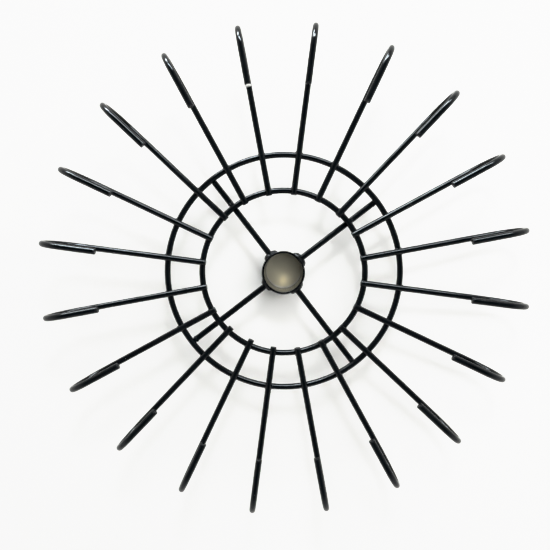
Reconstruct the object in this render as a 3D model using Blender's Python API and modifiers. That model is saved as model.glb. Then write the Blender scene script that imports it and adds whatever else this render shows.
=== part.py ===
"""Radial wire hook rack: a centre tube, four spokes, two rings and twenty long hooks.

Metres, +Z up. The origin is the centre of the tube's lower end, and hook_01 points along +X.
The wires are stacked from the bottom up: spokes, then rings, then hooks.
"""

import math

import bmesh
import bpy

# Wire
WIRE_DIAMETER = 0.0058  # over the paint
JOINT_GAP = 0.0003  # left between pieces that are welded on the real rack

# Centre tube, 42.4 x 2.1 mm
TUBE_OUTER_DIAMETER = 0.0424
TUBE_WALL = 0.0021
TUBE_LENGTH = 0.0620
TUBE_EDGE_BREAK = 0.0004

# Spokes
SPOKE_COUNT = 4
SPOKE_HEIGHT = 0.0442  # axis of the spokes above the lower end of the tube
SPOKE_START_ANGLE = math.radians(45)
SPOKE_OVERRUN = 0.0010  # past the centreline of the outer ring

# Rings, measured to the centreline of the wire
INNER_RING_RADIUS = 0.0814
OUTER_RING_RADIUS = 0.1163

# Hooks, measured to the centreline of the wire
HOOK_COUNT = 20
HOOK_OVERRUN = 0.0040  # inside the centreline of the inner ring
HOOK_REACH = 0.2300  # axis of the tube to the tip of the bend
HOOK_BEND_RADIUS = 0.0250
HOOK_RETURN = 0.0330  # straight wire that comes back above the hook

# Weld bead round the root of each spoke
WELD_LEG = 0.0032

# Facets
WIRE_BEVEL_RESOLUTION = 3  # ten sides
RING_SIDES = 10
RING_SEGMENTS = 80
TUBE_SEGMENTS = 48
HOOK_BEND_SEGMENTS = 12
WELD_SEGMENTS = 16
WELD_ARC_SEGMENTS = 4
MERGE_DISTANCE = 0.00001

# Fitted sizes
WIRE_RADIUS = WIRE_DIAMETER / 2
LAYER = WIRE_DIAMETER + JOINT_GAP
RING_HEIGHT = SPOKE_HEIGHT + LAYER
HOOK_HEIGHT = RING_HEIGHT + LAYER
TUBE_OUTER_RADIUS = TUBE_OUTER_DIAMETER / 2
TUBE_INNER_RADIUS = TUBE_OUTER_RADIUS - TUBE_WALL
SPOKE_START = TUBE_OUTER_RADIUS + JOINT_GAP
SPOKE_END = OUTER_RING_RADIUS + SPOKE_OVERRUN
HOOK_START = INNER_RING_RADIUS - HOOK_OVERRUN
HOOK_BEND_START = HOOK_REACH - HOOK_BEND_RADIUS
HOOK_RETURN_END = HOOK_BEND_START - HOOK_RETURN


def clear_scene():
    for obj in list(bpy.data.objects):
        bpy.data.objects.remove(obj, do_unlink=True)


def gloss_paint(name, colour, roughness):
    material = bpy.data.materials.new(name)
    material.use_nodes = True
    shader = material.node_tree.nodes["Principled BSDF"]
    shader.inputs["Base Color"].default_value = (*colour, 1.0)
    shader.inputs["Roughness"].default_value = roughness
    shader.inputs["Metallic"].default_value = 0.0
    return material


def add_piece(name, data, material, rack, location=(0, 0, 0), rotation=(0, 0, 0)):
    piece = bpy.data.objects.new(name, data)
    piece.data.materials.append(material)
    piece.location = location
    piece.rotation_euler = rotation
    piece.parent = rack
    rack.users_collection[0].objects.link(piece)
    return piece


def wire_curve(name, points):
    """A round wire through (along, up) points, in the plane of local X and Z."""
    curve = bpy.data.curves.new(name, "CURVE")
    curve.dimensions = "3D"
    curve.bevel_depth = WIRE_RADIUS
    curve.bevel_resolution = WIRE_BEVEL_RESOLUTION
    curve.use_fill_caps = True
    spline = curve.splines.new("POLY")
    spline.points.add(len(points) - 1)
    for point, (along, up) in zip(spline.points, points):
        point.co = (along, 0, up, 1)
    return curve


def turned_piece(name, profile, segments, material, rack, location, rotation):
    """A closed profile of (radius, height) points, turned round local Z."""
    mesh = bpy.data.meshes.new(name)
    outline = bmesh.new()
    corners = [outline.verts.new((radius, 0, height)) for radius, height in profile]
    for corner, following in zip(corners, corners[1:] + corners[:1]):
        outline.edges.new((corner, following))
    outline.to_mesh(mesh)
    outline.free()
    piece = add_piece(name, mesh, material, rack, location, rotation)
    screw = piece.modifiers.new("Turn", "SCREW")
    screw.axis = "Z"
    screw.angle = math.tau
    screw.steps = segments
    screw.render_steps = segments
    screw.use_merge_vertices = True
    screw.merge_threshold = MERGE_DISTANCE
    screw.use_smooth_shade = True
    return piece


def add_centre_tube(rack):
    paint = gloss_paint("tube_paint", (0.010, 0.011, 0.013), 0.25)
    outer, inner = TUBE_OUTER_RADIUS, TUBE_INNER_RADIUS
    top, edge = TUBE_LENGTH, TUBE_EDGE_BREAK
    profile = [
        (outer - edge, top),
        (outer, top - edge),
        (outer, edge),
        (outer - edge, 0),
        (inner + edge, 0),
        (inner, edge),
        (inner, top - edge),
        (inner + edge, top),
    ]
    turned_piece("centre_tube", profile, TUBE_SEGMENTS, paint, rack, (0, 0, 0), (0, 0, 0))


def add_spokes(rack):
    paint = gloss_paint("spoke_paint", (0.008, 0.009, 0.011), 0.22)
    for index in range(SPOKE_COUNT):
        name = f"spoke_{index + 1}"
        angle = SPOKE_START_ANGLE + math.tau * index / SPOKE_COUNT
        curve = wire_curve(name, [(SPOKE_START, 0), (SPOKE_END, 0)])
        add_piece(name, curve, paint, rack, (0, 0, SPOKE_HEIGHT), (0, 0, angle))


def add_tube_welds(rack):
    """The bead fills the corner between the tube's wall and the root of each spoke."""
    paint = gloss_paint("weld_paint", (0.012, 0.013, 0.015), 0.30)
    bore = WIRE_RADIUS + JOINT_GAP
    profile = [(bore, 0)]
    for step in range(WELD_ARC_SEGMENTS + 1):
        turn = math.pi / 2 * (1 - step / WELD_ARC_SEGMENTS)
        profile.append((bore + WELD_LEG * math.cos(turn), WELD_LEG * math.sin(turn)))
    for index in range(SPOKE_COUNT):
        angle = SPOKE_START_ANGLE + math.tau * index / SPOKE_COUNT
        root = (
            SPOKE_START * math.cos(angle),
            SPOKE_START * math.sin(angle),
            SPOKE_HEIGHT,
        )
        turn = (0, math.pi / 2, angle)
        turned_piece(f"tube_weld_{index + 1}", profile, WELD_SEGMENTS, paint, rack, root, turn)


def add_ring(name, radius, rack, paint):
    bpy.ops.mesh.primitive_torus_add(
        major_radius=radius,
        minor_radius=WIRE_RADIUS,
        major_segments=RING_SEGMENTS,
        minor_segments=RING_SIDES,
    )
    torus = bpy.context.object
    mesh = torus.data
    bpy.data.objects.remove(torus)
    mesh.name = name
    mesh.shade_smooth()
    add_piece(name, mesh, paint, rack, (0, 0, RING_HEIGHT))


def add_rings(rack):
    paint = gloss_paint("ring_paint", (0.008, 0.009, 0.011), 0.22)
    add_ring("inner_ring", INNER_RING_RADIUS, rack, paint)
    add_ring("outer_ring", OUTER_RING_RADIUS, rack, paint)


def hook_route():
    """Straight out over the rings, up round the bend, and a short way back above."""
    route = [(HOOK_START, 0)]
    for step in range(HOOK_BEND_SEGMENTS + 1):
        turn = math.pi * step / HOOK_BEND_SEGMENTS
        along = HOOK_BEND_START + HOOK_BEND_RADIUS * math.sin(turn)
        up = HOOK_BEND_RADIUS * (1 - math.cos(turn))
        route.append((along, up))
    route.append((HOOK_RETURN_END, 2 * HOOK_BEND_RADIUS))
    return route


def add_hooks(rack):
    paint = gloss_paint("hook_paint", (0.008, 0.010, 0.012), 0.20)
    for index in range(HOOK_COUNT):
        name = f"hook_{index + 1:02d}"
        angle = math.tau * index / HOOK_COUNT
        curve = wire_curve(name, hook_route())
        add_piece(name, curve, paint, rack, (0, 0, HOOK_HEIGHT), (0, 0, angle))


def main():
    clear_scene()
    parts = bpy.data.collections.new("radial_wire_hook_rack")
    bpy.context.scene.collection.children.link(parts)
    rack = bpy.data.objects.new("rack_frame", None)
    parts.objects.link(rack)
    add_centre_tube(rack)
    add_spokes(rack)
    add_tube_welds(rack)
    add_rings(rack)
    add_hooks(rack)


main()
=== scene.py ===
"""Looks of the radial wire hook rack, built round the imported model.

Metres, +Z up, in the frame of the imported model. Each wire is swept again with round sides, true bends and
cut ends, the tube is turned again with rounded lips, and the welds are lumps of their own. Under the rack
lies a pale sheet that isn't quite flat.
"""

import math
import random

import bmesh
import bpy
from mathutils import Matrix, Vector, noise


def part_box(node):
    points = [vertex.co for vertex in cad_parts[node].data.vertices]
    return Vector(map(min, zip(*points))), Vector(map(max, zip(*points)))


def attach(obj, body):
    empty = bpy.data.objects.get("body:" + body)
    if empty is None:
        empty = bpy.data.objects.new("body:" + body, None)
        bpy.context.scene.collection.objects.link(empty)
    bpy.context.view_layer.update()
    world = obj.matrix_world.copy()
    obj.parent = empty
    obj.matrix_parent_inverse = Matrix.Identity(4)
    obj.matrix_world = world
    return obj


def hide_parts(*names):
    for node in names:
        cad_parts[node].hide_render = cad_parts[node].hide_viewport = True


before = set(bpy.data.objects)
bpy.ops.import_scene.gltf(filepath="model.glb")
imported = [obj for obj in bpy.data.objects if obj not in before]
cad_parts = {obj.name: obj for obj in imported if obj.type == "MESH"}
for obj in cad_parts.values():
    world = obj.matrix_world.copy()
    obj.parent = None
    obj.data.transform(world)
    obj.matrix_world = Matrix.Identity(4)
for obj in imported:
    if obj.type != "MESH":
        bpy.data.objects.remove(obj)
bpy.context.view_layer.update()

BODY = "root"
UP = Vector((0, 0, 1))

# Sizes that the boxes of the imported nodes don't give
WIRE_RADIUS = 0.0029
TUBE_WALL = 0.0021
HOOK_RETURN = 0.0330  # straight wire above the hook
SPOKE_OVERRUN = 0.0010  # past the centreline of the outer ring
SPOKE_ROOT = 0.0006  # sunk into the weld pool at the wall

# Tube welds
WELD_REACH = 0.0052  # along the wall, beside the spoke
WELD_THIN_REACH = 0.0016  # along the wall, above and below the spoke
WELD_LENGTH = 0.0018  # along the spoke, above and below it
WELD_EXTRA_LENGTH = 0.0014  # and this much more beside it
WELD_RIPPLES = 9
WELD_RIPPLE_REACH = 0.0004
WELD_RIPPLE_LENGTH = 0.0003
WELD_BITE = 0.0004  # of the bead's edge into the spoke
WELD_DEPTH = 0.0008  # of its hidden back into the wall and the spoke
WELD_LUMPS = 0.0005
LUMP_FINENESS = 420  # noise cells in a metre, on every weld
SMALL_LUMP_FINENESS = 900

# Spot welds
HOOK_SPOT = 0.0040
SPOKE_SPOT = 0.0036
SPOT_THICKNESS = 0.0019  # each side of its middle
SPOT_WAIST = 0.62  # share of its size that it reaches along the wires
SPOT_CORNER = 0.42  # and this much more in the corners between them
SPOT_LUMPS = 0.00035
SPOKE_SPOT_RISE = 0.9 * WIRE_RADIUS  # above the spoke's centreline
INNER_SPOT_SHIFT = 0.0034  # a spoke's spot weld lies in the corner beside the ring: outside the inner one
OUTER_SPOT_SHIFT = -0.0030  # and inside the outer one

# Fineness
WIRE_SIDES = 28
STRAIGHT_STEP = 0.0020
BEND_STEPS = 36
RING_STEPS = 320
TUBE_STEPS = 192
LIP_STEPS = 6
WALL_STEPS = 32
WELD_STEPS = 56
WELD_ARC_STEPS = 12
SPOT_STEPS = 28
SPOT_ROWS = 10

# Workmanship
WOBBLE = 0.00012  # of a straight wire off its line
SPOKE_WOBBLE_PITCH = 0.05
HOOK_WOBBLE_PITCH = 0.06
OUT_OF_ROUND = 0.9  # in noise cells, the radius of the loop that a ring's wander is read on
OUT_OF_FLAT = 1.3  # the same for its wander up and down
PAINT_RIPPLE = 0.00003
RIPPLE_FINENESS = 260  # noise cells in a metre of wire
END_ROUNDING = 0.00045
LIP_RADIUS = 0.00055
LIP_WEAR = 0.05  # how thin the paint is on the tube's lips
FULL_COAT = 0.0080  # the paint is whole this far into the tube
OVERSPRAY = 0.0160  # and thins out over this length after it
WEAR_REACH = 0.0006  # how far paint is thin from a cut edge
FACE_WEAR_LOSS = 0.3  # how much less of it a cut face shows than its edge
CUT_TILT = 0.05  # slope of a cut end, of a spoke and at most of a hook's inner end
RETURN_CUT_TILT = 0.10  # at most, of a hook's returned end
TILT_FADE = 4 * WIRE_RADIUS  # how far from a cut its slope is felt
WHITE_END_HOOK = "hook_07"  # its cut end is painted white over a short length
WHITE_END_LENGTH = 0.0017
INNER_SCATTER = 0.0006  # how unlike each other the inner ends of the hooks are
INNER_EXCESS = 0.0030  # how much further in the hooks of the long side reach
LONG_SIDE = math.radians(257)  # direction of the hook that reaches furthest in
LONG_SIDE_NARROWNESS = 6
HOOK_LEAN_DEGREES = 1.0  # at most, of a bend out of upright
HOOK_CLOSE_DEGREES = 0.9  # at most, of a bend past half a turn or short of it
HOOK_SHORT = (0.0002, 0.0010)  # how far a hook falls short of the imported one, least and most
BEND_TIGHTENING = 0.0004  # at most
RETURN_SCATTER = 0.0006
WELD_SCATTER = (0.85, 1.15)
SPOT_SCATTER = (0.92, 1.12)
TUBE_LEAN = math.radians(1.6)  # the tube is welded in a little out of square

# The pale sheet under the rack
SHEET_HALF = 3.0
SHEET_STEPS = 70
SHEET_FLAT = 0.024  # each side of the axis
SHEET_BEND = 0.030  # past that, how long the bend into each slope is
SHEET_RUN = 0.25  # how far a slope goes on before it levels out
SHEET_CLIMB = 0.20  # slope to the right
SHEET_DROP_LEFT = 0.03
SHEET_DROP_FAR = 0.15
SHEET_CLEARANCE = 0.0001  # under the tube's foot
GLOW_START, GLOW_FULL = 0.4, 2.2  # from the axis
GLOW = 0.66

# Places of the camera and the lights are (right, up, height) as seen() takes them
SEEN_TURN = math.radians(-7.4)  # of the rack before the camera
CAMERA_PLACE = (0.0014, 0.0377, 0.6193)
CAMERA_AIM = (-0.0084, -0.0026)
LENS = 37.31
SENSOR = 36
LAMP_PLACE = (0.059, 0.490, 0.810)
CEILING_PLACE = (0.75, 0.8, 2.0)
LOW_PANEL_PLACE = (-3.0, 7.4, 1.5)
HIGH_PANEL_PLACE = (0.4, 7.9, 4.9)
FOCUS_PLACE = (0.0005, -0.0112, 0.0085)

# Tones: how light a tone is shown, with a shoulder near white
BLACK_LEVEL = 0.005
SHOULDER = ((0.28, 0.29), (0.43, 0.60), (0.55, 0.79), (0.62, 0.885), (0.70, 0.93), (0.80, 0.948))
WHITE_SHOWN = 0.965

# Colours
# White laid over one hook's cut end
END_WHITE = (0.80, 0.80, 0.78)
THIN_PAINT = (0.045, 0.047, 0.050)
DUST = (0.20, 0.20, 0.19)
DULL_STEEL = (0.13, 0.116, 0.082)
BRIGHT_STEEL = (0.26, 0.233, 0.172)
SHADED_BOARD = (0.880, 0.882, 0.876)
LIGHT_BOARD = (0.896, 0.898, 0.892)
# Painted warm light: the board's colour where it is seen through the bore
PAINTED_WARM_LIGHT_BOARD = (0.88, 0.85, 0.70)


def seen(right, up, height):
    """A place given to the right of the rack's axis and up from it as the camera sees it."""
    return Matrix.Rotation(-SEEN_TURN, 3, "Z") @ Vector((right, up, height))


def middle(node):
    low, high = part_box(node)
    return (low + high) / 2


def numbered(prefix):
    return sorted(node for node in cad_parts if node.startswith(prefix))


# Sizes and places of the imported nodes
TUBE_LOW, TUBE_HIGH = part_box("centre_tube")
TUBE_RADIUS = (TUBE_HIGH.x - TUBE_LOW.x) / 2
TUBE_BORE_RADIUS = TUBE_RADIUS - TUBE_WALL
SPOKES = numbered("spoke_")
SPOKE_HEIGHT = middle(SPOKES[0]).z
RING_HEIGHT = middle("inner_ring").z
INNER_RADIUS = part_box("inner_ring")[1].x - WIRE_RADIUS
OUTER_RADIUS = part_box("outer_ring")[1].x - WIRE_RADIUS
SPOKE_END = OUTER_RADIUS + SPOKE_OVERRUN
HOOKS = numbered("hook_")
HOOK_LOW, HOOK_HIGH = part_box(HOOKS[0])
HOOK_START = HOOK_LOW.x
HOOK_HEIGHT = HOOK_LOW.z + WIRE_RADIUS
BEND_RADIUS = (HOOK_HIGH.z - HOOK_LOW.z) / 2 - WIRE_RADIUS
BEND_START = HOOK_HIGH.x - WIRE_RADIUS - BEND_RADIUS


def bearing(node):
    """The direction of a radial wire about the rack's axis."""
    centre = middle(node)
    return math.atan2(centre.y, centre.x)


# ---------------------------------------------------------------- materials


class Nodes:
    """Short calls for the nodes of one material."""

    def __init__(self, tree):
        self.tree = tree
        self.place = self.add("ShaderNodeTexCoord").outputs["Object"]

    def add(self, kind, **settings):
        node = self.tree.nodes.new(kind)
        for name, value in settings.items():
            setattr(node, name, value)
        return node

    def link(self, source, target):
        self.tree.links.new(source, target)

    def noise(self, scale, detail, roughness=0.5, stretch=None):
        node = self.add("ShaderNodeTexNoise")
        node.inputs["Scale"].default_value = scale
        node.inputs["Detail"].default_value = detail
        node.inputs["Roughness"].default_value = roughness
        place = self.place
        if stretch:
            mapping = self.add("ShaderNodeMapping")
            mapping.inputs["Scale"].default_value = stretch
            self.link(place, mapping.inputs["Vector"])
            place = mapping.outputs["Vector"]
        self.link(place, node.inputs["Vector"])
        return node.outputs["Fac"]

    def mark(self, name):
        return self.add("ShaderNodeAttribute", attribute_name=name).outputs["Fac"]

    def spread(self, value, low, high, to_low, to_high):
        node = self.add("ShaderNodeMapRange")
        node.inputs["From Min"].default_value = low
        node.inputs["From Max"].default_value = high
        node.inputs["To Min"].default_value = to_low
        node.inputs["To Max"].default_value = to_high
        self.link(value, node.inputs["Value"])
        return node.outputs["Result"]

    def math(self, operation, first, second):
        node = self.add("ShaderNodeMath", operation=operation)
        for socket, value in zip(node.inputs, (first, second)):
            if isinstance(value, (int, float)):
                socket.default_value = value
            else:
                self.link(value, socket)
        return node.outputs["Value"]

    def blend(self, amount, first, second):
        node = self.add("ShaderNodeMix", data_type="RGBA")
        self.link(amount, node.inputs["Factor"])
        for socket, value in ((node.inputs[6], first), (node.inputs[7], second)):
            if isinstance(value, tuple):
                socket.default_value = (*value, 1)
            else:
                self.link(value, socket)
        return node.outputs[2]

    def specks(self, scale, size, share):
        """Small round specks in a share of the cells."""
        cells = self.add("ShaderNodeTexVoronoi")
        cells.inputs["Scale"].default_value = scale
        self.link(self.place, cells.inputs["Vector"])
        near = self.spread(cells.outputs["Distance"], size * 0.5, size, 1, 0)
        split = self.add("ShaderNodeSeparateColor")
        self.link(cells.outputs["Color"], split.inputs["Color"])
        chosen = self.math("LESS_THAN", split.outputs["Red"], share)
        return self.math("MULTIPLY", near, chosen)

    def bump(self, height, strength, distance, before=None):
        node = self.add("ShaderNodeBump")
        node.inputs["Strength"].default_value = strength
        node.inputs["Distance"].default_value = distance
        self.link(height, node.inputs["Height"])
        if before is not None:
            self.link(before, node.inputs["Normal"])
        return node.outputs["Normal"]


def black_paint(name, dark, light, gloss, peel, dust):
    """Black enamel on steel: two near blacks, orange peel, fine dust, thin paint at cut edges, and white
    over a marked cut end.
    """
    material = bpy.data.materials.new(name)
    material.use_nodes = True
    shader = material.node_tree.nodes["Principled BSDF"]
    make = Nodes(material.node_tree)

    clouds = make.noise(90, 3)
    fine = make.noise(1400, 2)
    shade = make.blend(make.spread(clouds, 0.35, 0.65, 0, 1), dark, light)

    broken = make.spread(make.noise(1100, 4, 0.7), 0.42, 0.68, 0, 1)
    bare = make.math("MULTIPLY", make.mark("wear"), broken)
    shade = make.blend(bare, shade, THIN_PAINT)

    # White over the marked cut end, ragged at its edge
    ragged = make.spread(make.noise(1500, 2), 0.30, 0.42, 0.3, 1)
    shade = make.blend(make.math("MULTIPLY", make.mark("chip"), ragged), shade, END_WHITE)

    settled = make.specks(420, 0.16, dust)
    shade = make.blend(settled, shade, DUST)

    low, high = gloss
    rough = make.spread(clouds, 0.3, 0.7, low, high)
    rough = make.math("ADD", rough, make.spread(fine, 0.3, 0.7, -0.02, 0.03))
    rough = make.math("ADD", rough, make.math("MULTIPLY", bare, 0.20))
    rough = make.math("ADD", rough, make.math("MULTIPLY", settled, 0.35))

    skin = make.bump(make.noise(520, 2), peel, 0.00010)
    grain = make.bump(make.noise(2600, 2), peel * 0.35, 0.00003, skin)
    chipped = make.bump(bare, 0.4, 0.00008, grain)

    make.link(shade, shader.inputs["Base Color"])
    make.link(rough, shader.inputs["Roughness"])
    make.link(chipped, shader.inputs["Normal"])
    shader.inputs["Metallic"].default_value = 0.0
    shader.inputs["IOR"].default_value = 1.5
    shader.inputs["Specular IOR Level"].default_value = 0.36
    return material


def bare_bore(material):
    """Inside the tube the paint is whole near the ends only, and steel shows through the rest."""
    shader = material.node_tree.nodes["Principled BSDF"]
    make = Nodes(material.node_tree)
    patches = make.spread(make.noise(150, 4, 0.65, (1, 1, 0.35)), 0.35, 0.62, 0.45, 1)
    bare = make.math("MULTIPLY", make.mark("bore"), patches)
    streaks = make.spread(make.noise(700, 3, 0.6, (1, 1, 0.06)), 0.3, 0.7, 0, 1)
    steel = make.blend(streaks, DULL_STEEL, BRIGHT_STEEL)
    painted = shader.inputs["Base Color"].links[0].from_socket
    make.link(make.blend(bare, painted, steel), shader.inputs["Base Color"])
    glossy = shader.inputs["Roughness"].links[0].from_socket
    rough = make.math("MULTIPLY", bare, make.spread(streaks, 0, 1, -0.06, 0.06))
    make.link(make.math("ADD", glossy, rough), shader.inputs["Roughness"])
    make.link(make.math("MULTIPLY", bare, 0.85), shader.inputs["Metallic"])


def wire_paint():
    return black_paint(
        "wire_paint",
        dark=(0.0014, 0.0026, 0.0034),
        light=(0.0028, 0.0046, 0.0060),
        gloss=(0.08, 0.15),
        peel=0.16,
        dust=0.012,
    )


def tube_paint():
    material = black_paint(
        "tube_paint",
        dark=(0.0016, 0.0022, 0.0026),
        light=(0.0034, 0.0044, 0.0052),
        gloss=(0.12, 0.22),
        peel=0.26,
        dust=0.008,
    )
    bare_bore(material)
    return material


def weld_paint():
    return black_paint(
        "weld_paint",
        dark=(0.0022, 0.0034, 0.0042),
        light=(0.0060, 0.0082, 0.0098),
        gloss=(0.05, 0.12),
        peel=0.38,
        dust=0.02,
    )


def floor_paint():
    """Matt white board with a trace of tone and tooth, and a painted warm light tint where the tube stands
    on it, seen through the bore.
    """
    material = bpy.data.materials.new("pale_board")
    material.use_nodes = True
    shader = material.node_tree.nodes["Principled BSDF"]
    make = Nodes(material.node_tree)
    tone = make.spread(make.noise(3, 3), 0.3, 0.7, 0, 1)
    board = make.blend(tone, SHADED_BOARD, LIGHT_BOARD)
    away = make.add("ShaderNodeVectorMath", operation="LENGTH")
    make.link(make.place, away.inputs[0])
    # Painted warm light inside the tube's foot, where the board shows through the bore
    painted_warm_light = make.spread(away.outputs["Value"], 0.018, 0.021, 1, 0)
    make.link(make.blend(painted_warm_light, board, PAINTED_WARM_LIGHT_BOARD), shader.inputs["Base Color"])
    make.link(make.spread(make.noise(60, 2), 0.3, 0.7, 0.75, 0.9), shader.inputs["Roughness"])
    make.link(make.bump(make.noise(900, 2), 0.05, 0.0001), shader.inputs["Normal"])
    shader.inputs["Specular IOR Level"].default_value = 0.1

    # Past the reach of the lights the board glows a little, so that it stays as pale as it is near the rack
    glow = make.spread(away.outputs["Value"], GLOW_START, GLOW_FULL, 0, GLOW)
    shader.inputs["Emission Color"].default_value = (1.0, 0.995, 0.985, 1)
    make.link(glow, shader.inputs["Emission Strength"])
    return material


# ---------------------------------------------------------------- meshes


def loft(name, loops, closed, material, **marks):
    """A skin over loops of points, joined in order. An open one gets a face over its first and last loop."""
    count = len(loops[0])
    points = [point for loop in loops for point in loop]
    faces = []
    for row in range(len(loops) if closed else len(loops) - 1):
        here = row * count
        there = (row + 1) % len(loops) * count
        for side in range(count):
            beside = (side + 1) % count
            faces.append((here + side, here + beside, there + beside, there + side))
    if not closed:
        faces.append(tuple(range(count)))
        faces.append(tuple(range(len(points) - count, len(points))))
    mesh = bpy.data.meshes.new(name)
    mesh.from_pydata(points, [], faces)
    face_out(mesh)
    mesh.shade_smooth()
    mesh.set_sharp_from_angle(angle=math.radians(50))
    for mark, values in marks.items():
        mesh.attributes.new(mark, "FLOAT", "POINT").data.foreach_set("value", values)
    mesh.materials.append(material)
    piece = bpy.data.objects.new(name, mesh)
    bpy.context.scene.collection.objects.link(piece)
    return piece


def face_out(mesh):
    work = bmesh.new()
    work.from_mesh(mesh)
    bmesh.ops.recalc_face_normals(work, faces=work.faces)
    work.to_mesh(mesh)
    work.free()


def take_part(piece, slot, *nodes):
    """The piece rides with the rack and stands for its nodes, which are hidden. Its slot is not used."""
    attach(piece, BODY)
    if nodes:
        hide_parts(*nodes)


def drift(distance, seed, pitch, size):
    """A smooth wander along a wire, the same each run."""
    return size * noise.noise(Vector((distance / pitch, seed * 7.31, 0.5)))


def rounded_end(route, tilt):
    """Stations from the cut face at the start of a route, over its rounded edge, to the full wire."""
    outward = (route[0] - route[1]).normalized()
    stations = []
    for step in range(LIP_STEPS + 1):
        turn = math.pi / 2 * step / LIP_STEPS
        inset = END_ROUNDING * (1 - math.sin(turn))
        back = END_ROUNDING * (1 - math.cos(turn))
        wear = 1.0 - FACE_WEAR_LOSS * inset / END_ROUNDING
        stations.append((route[0] - outward * back, WIRE_RADIUS - inset, wear, tilt))
    return stations


def wire_stations(route, tilt_start=0.0, tilt_end=0.0):
    """(point, radius, wear, tilt) along an open route, with both cut ends rounded over."""
    stations = rounded_end(route, tilt_start)
    for point in route[1:-1]:
        gone, to_go = (point - route[0]).length, (point - route[-1]).length
        nearer = min(gone, to_go)
        if nearer < END_ROUNDING * 1.5:
            continue
        wear = max(0.0, 1 - nearer / WEAR_REACH)
        tilt = tilt_start if gone < to_go else tilt_end
        fade = max(0.0, 1 - nearer / TILT_FADE)
        stations.append((point, WIRE_RADIUS, wear, tilt * fade))
    return stations + rounded_end(route[::-1], tilt_end)[::-1]


def tangent_at(points, index, closed):
    if closed:
        return (points[(index + 1) % len(points)] - points[index - 1]).normalized()
    behind, ahead = max(index - 1, 0), min(index + 1, len(points) - 1)
    # The stations of a rounded end crowd together, so the direction is read over a longer stretch
    while (points[ahead] - points[behind]).length < END_ROUNDING and (behind or ahead < len(points) - 1):
        behind, ahead = max(behind - 1, 0), min(ahead + 1, len(points) - 1)
    return (points[ahead] - points[behind]).normalized()


def swept_wire(name, stations, normal, material, seed, closed=False, chipped=0.0):
    """A round wire through stations that lie in the plane with this normal."""
    points = [station[0] for station in stations]
    loops, wear, chip = [], [], []
    for index, (point, radius, worn, tilt) in enumerate(stations):
        along = tangent_at(points, index, closed)
        rise = normal.cross(along).normalized()
        loop = []
        for side in range(WIRE_SIDES):
            turn = math.tau * side / WIRE_SIDES
            place = point * RIPPLE_FINENESS + Vector((math.cos(turn), math.sin(turn), seed))
            reach = radius - PAINT_RIPPLE + PAINT_RIPPLE * noise.noise(place)
            offset = rise * math.cos(turn) + normal * math.sin(turn)
            loop.append(point + offset * reach + along * (tilt * radius * math.cos(turn)))
            wear.append(worn)
            # The last stretch of the marked wire is painted white
            chip.append(1.0 if (point - points[-1]).length < chipped else 0.0)
        loops.append(loop)
    return loft(name, loops, closed, material, wear=wear, chip=chip)


# ---------------------------------------------------------------- wires


def radial(turn, out, height, aside=0.0):
    """A place at a distance from the rack's axis in a direction, and a little to one side of it."""
    return Vector(
        (
            out * math.cos(turn) - aside * math.sin(turn),
            out * math.sin(turn) + aside * math.cos(turn),
            height,
        )
    )


def straight_steps(start, end):
    count = max(2, round(abs(end - start) / STRAIGHT_STEP))
    return [start + (end - start) * step / count for step in range(count + 1)]


def make_spoke(node, paint, seed):
    turn = bearing(node)
    route = []
    for out in straight_steps(TUBE_RADIUS - SPOKE_ROOT, SPOKE_END):
        route.append(radial(turn, out, SPOKE_HEIGHT, drift(out, seed, SPOKE_WOBBLE_PITCH, WOBBLE)))
    stations = wire_stations(route, 0.0, CUT_TILT)
    normal = Vector((-math.sin(turn), math.cos(turn), 0))
    piece = swept_wire(f"{node}_wire", stations, normal, paint, seed)
    take_part(piece, "wire", node)


def make_ring(node, radius, paint, seed):
    """A closed ring, a hair out of round as a rolled and butt welded ring is."""
    stations = []
    for step in range(RING_STEPS):
        turn = math.tau * step / RING_STEPS
        swing = Vector((math.cos(turn), math.sin(turn), seed))
        out = radius + WOBBLE * noise.noise(swing * OUT_OF_ROUND) - WOBBLE
        rise = WOBBLE * noise.noise(swing * OUT_OF_FLAT + UP)
        stations.append((radial(turn, out, RING_HEIGHT + rise), WIRE_RADIUS, 0.0, 0.0))
    piece = swept_wire(f"{node}_wire", stations, UP, paint, seed, closed=True)
    take_part(piece, "wire", node)


def hook_route(turn, seed, chance):
    """Out over the rings, up round the bend and back above, each a little unlike the next."""
    lean = math.radians(chance.uniform(-HOOK_LEAN_DEGREES, HOOK_LEAN_DEGREES))
    close = math.radians(chance.uniform(-HOOK_CLOSE_DEGREES, HOOK_CLOSE_DEGREES))
    short = chance.uniform(*HOOK_SHORT)
    bend = BEND_RADIUS - chance.uniform(0.0, BEND_TIGHTENING)
    finish = BEND_START - short - HOOK_RETURN - chance.uniform(-RETURN_SCATTER, RETURN_SCATTER)
    excess = INNER_EXCESS * max(0.0, math.cos(turn - LONG_SIDE)) ** LONG_SIDE_NARROWNESS
    start = HOOK_START - excess - chance.uniform(0.0, INNER_SCATTER)
    flat = [(out, 0.0) for out in straight_steps(start, BEND_START - short)]
    sweep = math.pi + close
    for step in range(1, BEND_STEPS + 1):
        angle = sweep * step / BEND_STEPS
        flat.append((BEND_START - short + bend * math.sin(angle), bend * (1 - math.cos(angle))))
    out, up = flat[-1]
    length = out - finish
    for gone in straight_steps(0, length)[1:]:
        returned = min(up - gone * math.sin(close), 2 * BEND_RADIUS)
        flat.append((out - gone * math.cos(close), returned))
    route = []
    for out, up in flat:
        aside = up * math.sin(lean) + drift(out + up, seed, HOOK_WOBBLE_PITCH, WOBBLE)
        route.append(radial(turn, out, HOOK_HEIGHT + up * math.cos(lean), aside))
    return route


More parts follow.
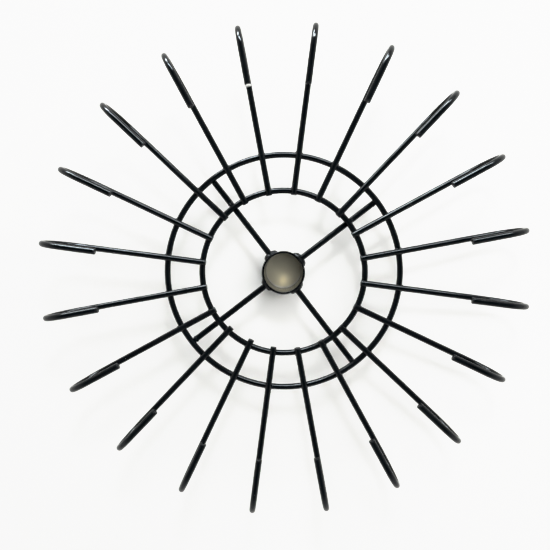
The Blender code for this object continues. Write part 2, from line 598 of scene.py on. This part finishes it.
def make_hook(node, paint, seed, chance):
    turn = bearing(node)
    route = hook_route(turn, seed, chance)
    inner_tilt = chance.uniform(-CUT_TILT, CUT_TILT)
    outer_tilt = chance.uniform(-RETURN_CUT_TILT, RETURN_CUT_TILT)
    stations = wire_stations(route, inner_tilt, outer_tilt)
    normal = Vector((-math.sin(turn), math.cos(turn), 0))
    chipped = WHITE_END_LENGTH if node == WHITE_END_HOOK else 0.0
    piece = swept_wire(f"{node}_wire", stations, normal, paint, seed, chipped=chipped)
    take_part(piece, "wire", node)


# ---------------------------------------------------------------- tube


def tube_outline():
    """(radius, height, wear, bore) round the wall's section, with all four edges rounded over."""
    low, high = TUBE_LOW.z, TUBE_HIGH.z
    outer, inner = TUBE_RADIUS, TUBE_BORE_RADIUS
    corners = [
        (outer - LIP_RADIUS, high - LIP_RADIUS, math.pi / 2, 0),
        (outer - LIP_RADIUS, low + LIP_RADIUS, 0, -math.pi / 2),
        (inner + LIP_RADIUS, low + LIP_RADIUS, -math.pi / 2, -math.pi),
        (inner + LIP_RADIUS, high - LIP_RADIUS, math.pi, math.pi / 2),
    ]
    outline = []
    for number, (centre, height, begin, end) in enumerate(corners):
        for step in range(LIP_STEPS + 1):
            angle = begin + (end - begin) * step / LIP_STEPS
            place = (centre + LIP_RADIUS * math.cos(angle), height + LIP_RADIUS * math.sin(angle))
            outline.append((*place, LIP_WEAR, 0.0))
        if number % 2 == 0:
            radius = outer if number == 0 else inner
            outline += wall_steps(radius, height, corners[number + 1][1], number == 2)
    return outline


def wall_steps(radius, start, end, inside):
    """The wall between two lips. Inside, the paint thins out some way from each end."""
    steps = []
    for step in range(1, WALL_STEPS):
        height = start + (end - start) * step / WALL_STEPS
        depth = min(abs(height - start), abs(height - end))
        thin = min(1.0, max(0.0, depth - FULL_COAT) / OVERSPRAY)
        steps.append((radius, height, 0.0, thin if inside else 0.0))
    return steps


def tube_lean(height):
    """How far the tube's axis is off the rack's at a height."""
    return seen(0, (height - SPOKE_HEIGHT) * math.tan(TUBE_LEAN), 0)


def make_tube(paint):
    outline = tube_outline()
    loops, wear, bore = [], [], []
    for step in range(TUBE_STEPS):
        turn = math.tau * step / TUBE_STEPS
        loop = []
        for radius, height, worn, inside in outline:
            around = Vector((math.cos(turn), math.sin(turn), height * 30))
            reach = radius - PAINT_RIPPLE + PAINT_RIPPLE * noise.noise(around * 2.5)
            loop.append(radial(turn, reach, height) + tube_lean(height))
            wear.append(worn)
            bore.append(inside)
        loops.append(loop)
    piece = loft("centre_tube_shell", loops, True, paint, wear=wear, bore=bore)
    take_part(piece, "tube", "centre_tube")


# ---------------------------------------------------------------- welds


def lump(place, seed, size):
    """How far a weld's skin stands out at a place: large lumps, and small ones half as high."""
    large = noise.noise(place * LUMP_FINENESS + UP * seed)
    small = noise.noise(place * SMALL_LUMP_FINENESS - UP * seed)
    return size * (large + 0.5 * small)


def tube_weld_loop(turn, around, heavy, seed):
    """One section of the bead: from the spoke, over the bead to the wall, and back inside the metal."""
    beside = abs(math.sin(around))
    ripple = 0.5 + 0.5 * math.cos(around * WELD_RIPPLES + seed)
    swell = (WELD_REACH * heavy - WELD_THIN_REACH) * beside**1.5
    reach = WELD_THIN_REACH + swell + WELD_RIPPLE_REACH * ripple
    along = WELD_LENGTH + WELD_EXTRA_LENGTH * beside + WELD_RIPPLE_LENGTH * ripple
    loop = []
    for step in range(WELD_ARC_STEPS + 1):
        angle = math.pi / 2 * step / WELD_ARC_STEPS
        bulge = 1.0 - 0.12 * math.sin(2 * angle) * (1 - beside)
        from_spoke = WIRE_RADIUS - WELD_BITE + (reach + WELD_BITE) * math.sin(angle) ** 0.9 * bulge
        from_wall = along * math.cos(angle) ** 0.8 * bulge
        loop.append((from_spoke, from_wall))
    loop.append((WIRE_RADIUS + reach, -WELD_DEPTH))
    loop.append((WIRE_RADIUS - WELD_DEPTH, -WELD_DEPTH))
    placed = []
    for number, (from_spoke, from_wall) in enumerate(loop):
        sideways = from_spoke * math.sin(around)
        upward = from_spoke * math.cos(around)
        wall = math.sqrt(TUBE_RADIUS**2 - sideways**2)
        place = radial(turn, wall + from_wall, SPOKE_HEIGHT + upward, sideways)
        if 0 < number < WELD_ARC_STEPS:
            place += radial(turn, 1, 0) * lump(place, seed, WELD_LUMPS)
        placed.append(place)
    return placed


def make_tube_weld(node, paint, seed, chance):
    """A stack of overlapping puddles on each side of the spoke, thinner above and below it."""
    turn = bearing(node)
    left, right = chance.uniform(*WELD_SCATTER), chance.uniform(*WELD_SCATTER)
    loops = []
    for step in range(WELD_STEPS):
        around = math.tau * step / WELD_STEPS
        share = 0.5 + 0.5 * math.sin(around)
        loops.append(tube_weld_loop(turn, around, left * share + right * (1 - share), seed))
    piece = loft(f"{node}_bead", loops, True, paint)
    take_part(piece, "weld", node)


def spot_weld(turn, out, height, seed, size):
    """Loops of a flat nugget pressed out into the four corners of a crossing."""
    centre = radial(turn, out, height)
    loops = []
    for row in range(SPOT_ROWS + 1):
        angle = math.pi * (row + 0.35) / (SPOT_ROWS + 0.7)
        loop = []
        for step in range(SPOT_STEPS):
            around = math.tau * step / SPOT_STEPS
            corner = abs(math.sin(2 * around)) ** 1.5
            reach = size * (SPOT_WAIST + SPOT_CORNER * corner) * math.sin(angle) ** 0.7
            place = radial(
                turn,
                out + reach * math.cos(around),
                height + SPOT_THICKNESS * math.cos(angle),
                reach * math.sin(around),
            )
            place += (place - centre).normalized() * lump(place, seed, SPOT_LUMPS)
            loop.append(place)
        loops.append(loop)
    return loops


def join(name, pieces):
    """Several meshes made one, because they are the same kind of thing on one wire."""
    work = bmesh.new()
    for piece in pieces:
        work.from_mesh(piece.data)
    mesh = bpy.data.meshes.new(name)
    work.to_mesh(mesh)
    work.free()
    mesh.materials.append(pieces[0].data.materials[0])
    for piece in pieces:
        bpy.data.objects.remove(piece)
    whole = bpy.data.objects.new(name, mesh)
    bpy.context.scene.collection.objects.link(whole)
    return whole


def make_spot_welds(ring, radius, spoke_shift, paint, chance):
    """The nuggets of one ring: under every hook, and on every spoke in the corner beside the ring."""
    under_hook = (HOOK_HEIGHT + RING_HEIGHT) / 2
    on_spoke = SPOKE_HEIGHT + SPOKE_SPOT_RISE
    spots = [(bearing(hook), radius, under_hook, HOOK_SPOT) for hook in HOOKS]
    spots += [(bearing(spoke), radius + spoke_shift, on_spoke, SPOKE_SPOT) for spoke in SPOKES]
    nuggets = []
    for seed, (turn, out, height, size) in enumerate(spots):
        loops = spot_weld(turn, out, height, seed + 3, size * chance.uniform(*SPOT_SCATTER))
        nuggets.append(loft(f"{ring}_nugget_{seed}", loops, False, paint))
    take_part(join(f"{ring}_spot_welds", nuggets), "weld")


# ---------------------------------------------------------------- setting


def ramp(distance):
    """Flat near the axis, then bending gently up, and level again far out."""
    beyond = max(0.0, distance - SHEET_FLAT)
    bent = min(beyond, SHEET_BEND)
    return SHEET_RUN * math.tanh((bent * bent / (2 * SHEET_BEND) + beyond - bent) / SHEET_RUN)


def sheet_height(right, up):
    """The sheet is flat under the tube, climbs on the right, and sinks on the left and the far side."""
    across = SHEET_CLIMB * ramp(right) - SHEET_DROP_LEFT * ramp(-right)
    return TUBE_LOW.z - SHEET_CLEARANCE + across - SHEET_DROP_FAR * ramp(up)


def make_floor(paint):
    """A wide pale sheet, just under the foot of the tube, with its lines closest together there."""
    beyond = [SHEET_HALF * (step / SHEET_STEPS) ** 3 for step in range(SHEET_STEPS + 1)]
    lines = [-place for place in reversed(beyond[1:])] + beyond
    points = [seen(right, up, sheet_height(right, up)) for up in lines for right in lines]
    count = len(lines)
    faces = []
    for row in range(count - 1):
        for corner in range(row * count, row * count + count - 1):
            faces.append((corner, corner + 1, corner + count + 1, corner + count))
    mesh = bpy.data.meshes.new("floor")
    mesh.from_pydata(points, [], faces)
    mesh.shade_smooth()
    mesh.materials.append(paint)
    floor = bpy.data.objects.new("floor", mesh)
    bpy.context.scene.collection.objects.link(floor)


def make_light(name, place, target, size, watts, colour, unseen_by):
    """A soft lamp: a rectangle, or a disc where only one size is given."""
    lamp = bpy.data.lights.new(name, "AREA")
    lamp.shape = "RECTANGLE" if len(size) == 2 else "DISK"
    lamp.size = size[0]
    if len(size) == 2:
        lamp.size_y = size[1]
    lamp.energy = watts
    lamp.color = colour
    holder = bpy.data.objects.new(name, lamp)
    holder.location = place
    holder.rotation_euler = (target - place).to_track_quat("-Z", "Y").to_euler()
    holder.visible_camera = False
    setattr(holder, f"visible_{unseen_by}", False)
    bpy.context.scene.collection.objects.link(holder)


def make_panel(name, place, size, watts, colour):
    """A bright strip that stands upright behind the rack and shows only in the gloss."""
    right, up, height = place
    make_light(name, seen(right, up, height), seen(0, 0, height), size, watts, colour, "diffuse")


def make_lights():
    """A small soft lamp on the far side, its glint, two bright strips past it, and pale light from above."""
    rack = Vector((0, 0, RING_HEIGHT))
    lamp = seen(*LAMP_PLACE)
    make_light("lamp", lamp, rack, (0.150,), 1.5, (0.97, 0.99, 1.0), "glossy")
    make_light("glint", lamp, rack, (0.125,), 0.6, (1.0, 0.99, 0.97), "diffuse")
    make_panel("low_panel", LOW_PANEL_PLACE, (4.5, 2.3), 720, (0.88, 0.96, 1.0))
    make_panel("high_panel", HIGH_PANEL_PLACE, (7.5, 2.0), 1300, (0.86, 0.95, 1.0))
    make_light("ceiling", seen(*CEILING_PLACE), rack, (3.2,), 65, (1.0, 0.99, 0.96), "glossy")

    # Stands in for the lamp's light that the bore gathers on the sheet
    focus = seen(*FOCUS_PLACE)
    make_light("focus", focus, focus - UP, (0.0060, 0.0060), 0.00022, (1.0, 0.95, 0.84), "glossy")


def make_room():
    """Dim light from all round, paler walls for the gloss to pick up, and white past the sheet's edge."""
    world = bpy.data.worlds.new("pale_room")
    world.use_nodes = True
    make = Nodes(world.node_tree)
    path = make.add("ShaderNodeLightPath")
    height = make.add("ShaderNodeSeparateXYZ")
    make.link(make.add("ShaderNodeTexCoord").outputs["Generated"], height.inputs["Vector"])
    walls = make.spread(height.outputs["Z"], 0.35, 0.85, 0.75, 0)
    walls = make.math("MULTIPLY", path.outputs["Is Glossy Ray"], walls)
    plain = make.spread(path.outputs["Is Camera Ray"], 0, 1, 0.15, 0.80)
    sky = world.node_tree.nodes["Background"]
    sky.inputs["Color"].default_value = (0.97, 0.99, 1.0, 1)
    make.link(make.math("ADD", plain, walls), sky.inputs["Strength"])
    bpy.context.scene.world = world


def make_camera():
    """Nearly straight above the rack, from a little past its middle."""
    lens = bpy.data.cameras.new("camera")
    lens.sensor_width = SENSOR
    lens.lens = LENS
    lens.clip_start = 0.01
    camera = bpy.data.objects.new("camera", lens)
    place = seen(*CAMERA_PLACE)
    target = seen(*CAMERA_AIM, RING_HEIGHT)
    back = (place - target).normalized()
    right = seen(0, 1, 0).cross(back).normalized()
    above = back.cross(right)
    facing = Matrix((right, above, back)).transposed()
    camera.matrix_world = Matrix.Translation(place) @ facing.to_4x4()
    bpy.context.scene.collection.objects.link(camera)
    bpy.context.scene.camera = camera


def set_tones():
    """Plain tones, with the deepest blacks pulled down and a shoulder, as a product picture has them."""
    view = bpy.context.scene.view_settings
    view.view_transform = "Standard"
    view.look = "None"
    view.use_curve_mapping = True
    tones = view.curve_mapping
    tones.black_level = (BLACK_LEVEL, BLACK_LEVEL, BLACK_LEVEL)
    curve = tones.curves[3]
    curve.points[-1].location = (1.0, WHITE_SHOWN)
    for light, shown in SHOULDER:
        curve.points.new(light, shown)
    tones.update()


def main():
    wire, tube, weld = wire_paint(), tube_paint(), weld_paint()
    chance = random.Random(20)
    make_tube(tube)
    for seed, node in enumerate(SPOKES):
        make_spoke(node, wire, seed + 1)
    make_ring("inner_ring", INNER_RADIUS, wire, 11)
    make_ring("outer_ring", OUTER_RADIUS, wire, 12)
    for seed, node in enumerate(HOOKS):
        make_hook(node, wire, seed + 21, chance)
    for seed, node in enumerate(numbered("tube_weld_")):
        make_tube_weld(node, weld, seed + 1, chance)
    make_spot_welds("inner_ring", INNER_RADIUS, INNER_SPOT_SHIFT, weld, chance)
    make_spot_welds("outer_ring", OUTER_RADIUS, OUTER_SPOT_SHIFT, weld, chance)
    make_floor(floor_paint())
    make_lights()
    make_room()
    make_camera()
    set_tones()


main()
